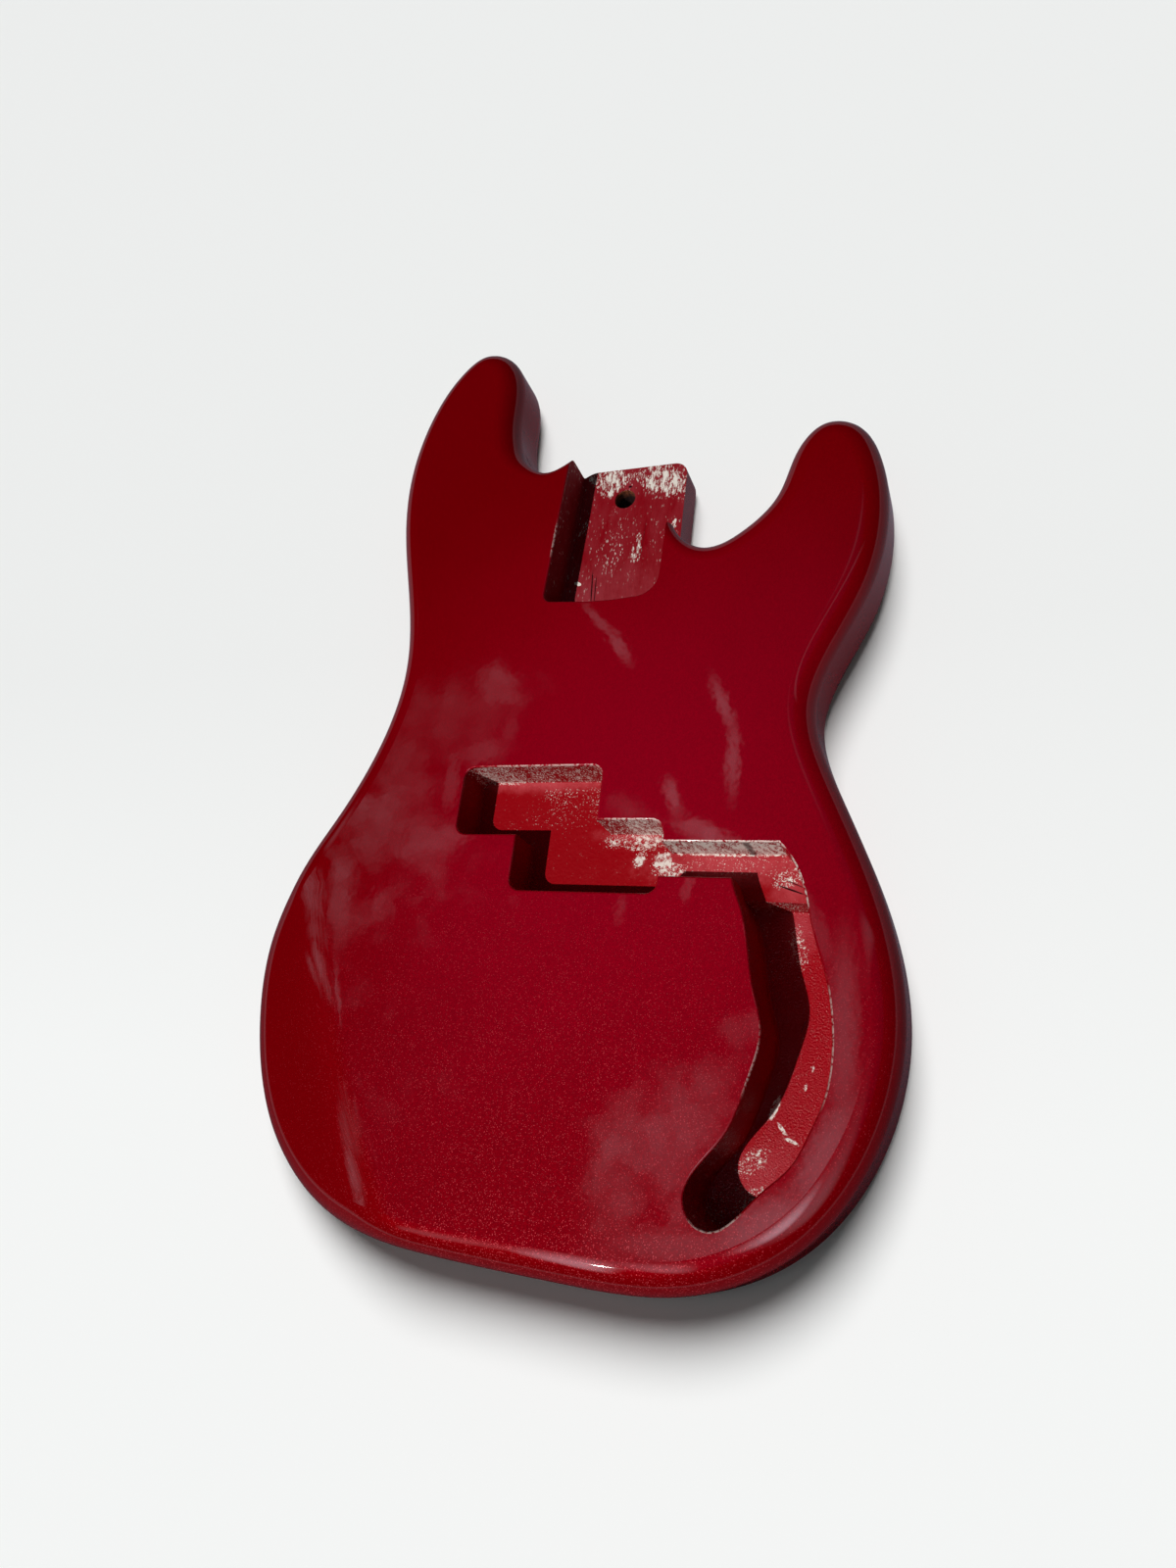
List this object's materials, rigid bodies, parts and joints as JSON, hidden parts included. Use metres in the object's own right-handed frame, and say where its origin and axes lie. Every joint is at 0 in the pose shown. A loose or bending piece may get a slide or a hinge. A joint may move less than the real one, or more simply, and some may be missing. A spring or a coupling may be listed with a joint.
{
  "type": "bass guitar body",
  "caption": "Solid bolt-on bass guitar body of glued boards with neck pocket, split pickup rout, wiring channel and control cavity, painted gloss red.",
  "frame": {"origin": "on the back face, on the centre line, under the inner end of the neck pocket", "axes": "+Y along the centre line towards the neck, +Z out of the face, +X towards the treble side"},
  "size_m": [0.3307, 0.5037, 0.0444],
  "materials": {
    "red_lacquered_wood": "gloss candy red metallic lacquer over wood; rough overspray in the routs"
  },
  "bodies": {
    "root": {"bass_side_board": "red_lacquered_wood", "bass_centre_board": "red_lacquered_wood", "treble_centre_board": "red_lacquered_wood", "treble_side_board": "red_lacquered_wood"}
  },
  "joints": []
}
